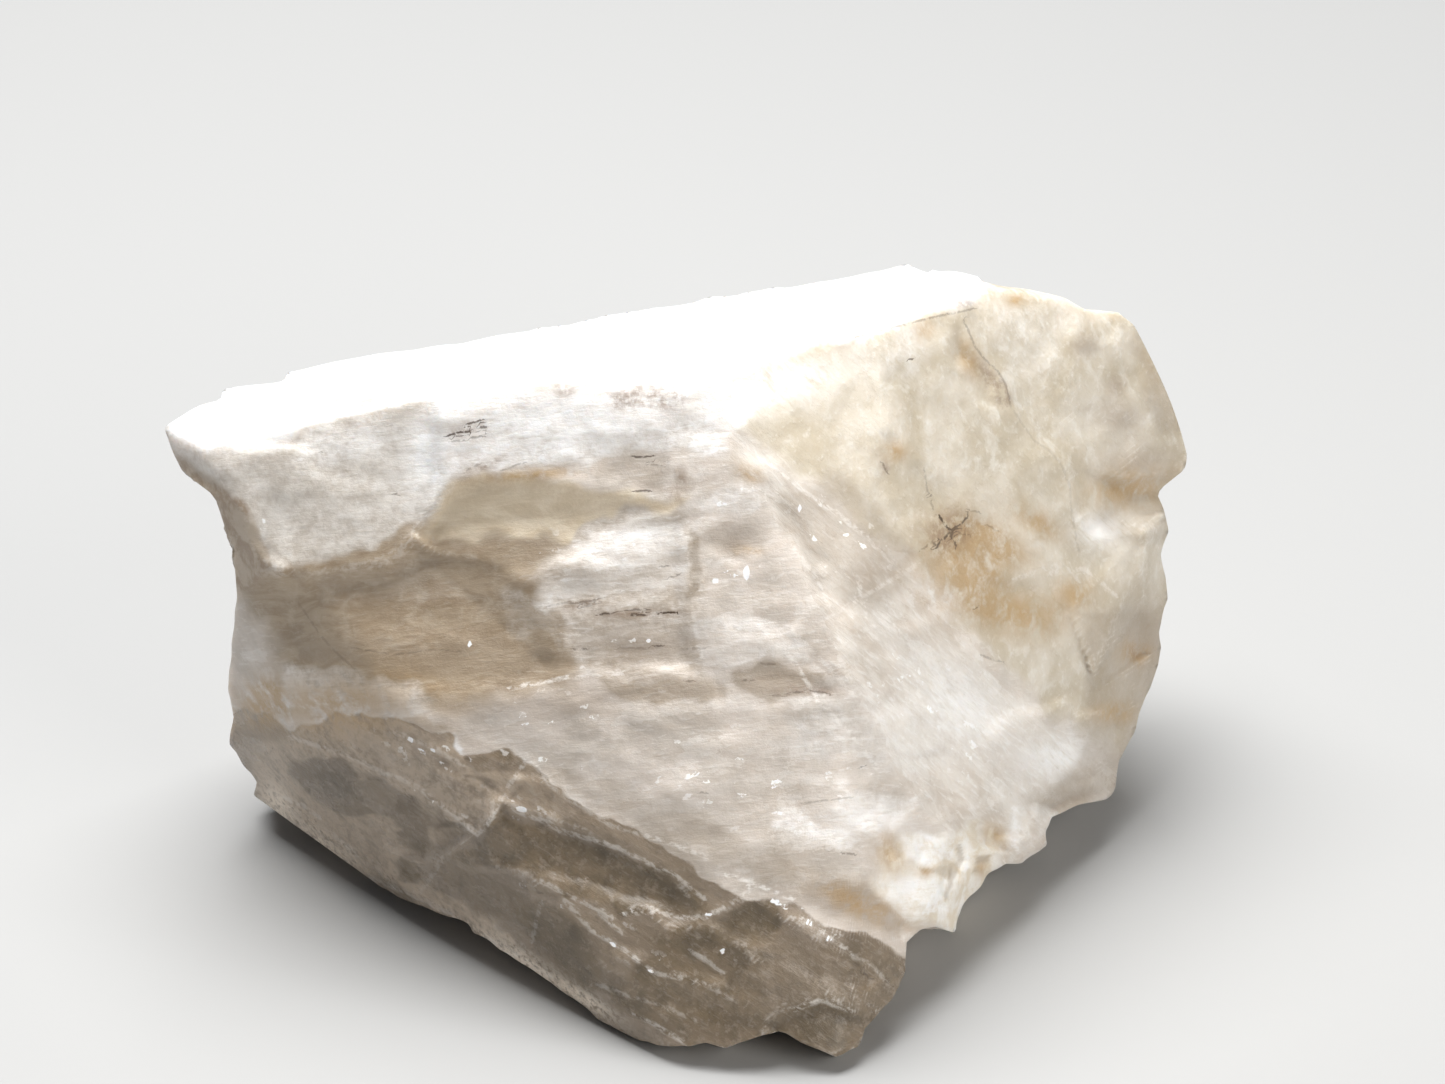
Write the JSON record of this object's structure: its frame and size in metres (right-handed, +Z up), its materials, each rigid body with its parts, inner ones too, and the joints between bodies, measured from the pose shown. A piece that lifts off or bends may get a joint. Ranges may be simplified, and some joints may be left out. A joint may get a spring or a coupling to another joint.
{
  "type": "natrolite crystal specimen",
  "caption": "Broken hand specimen of white fibrous natrolite with a glassy translucent foot, resting on one flat cleavage face.",
  "frame": {"origin": "in the flat cleavage face that the specimen rests on, below its middle", "axes": "+Z up from the resting face, +X along the specimen, -Y towards its steep fibrous front"},
  "size_m": [0.0566, 0.0417, 0.035],
  "materials": {
    "natrolite": "white to cream fibrous crystal with a silky to glassy lustre, translucent at its foot"
  },
  "bodies": {
    "root": {"natrolite_crystal": "natrolite"}
  },
  "joints": []
}
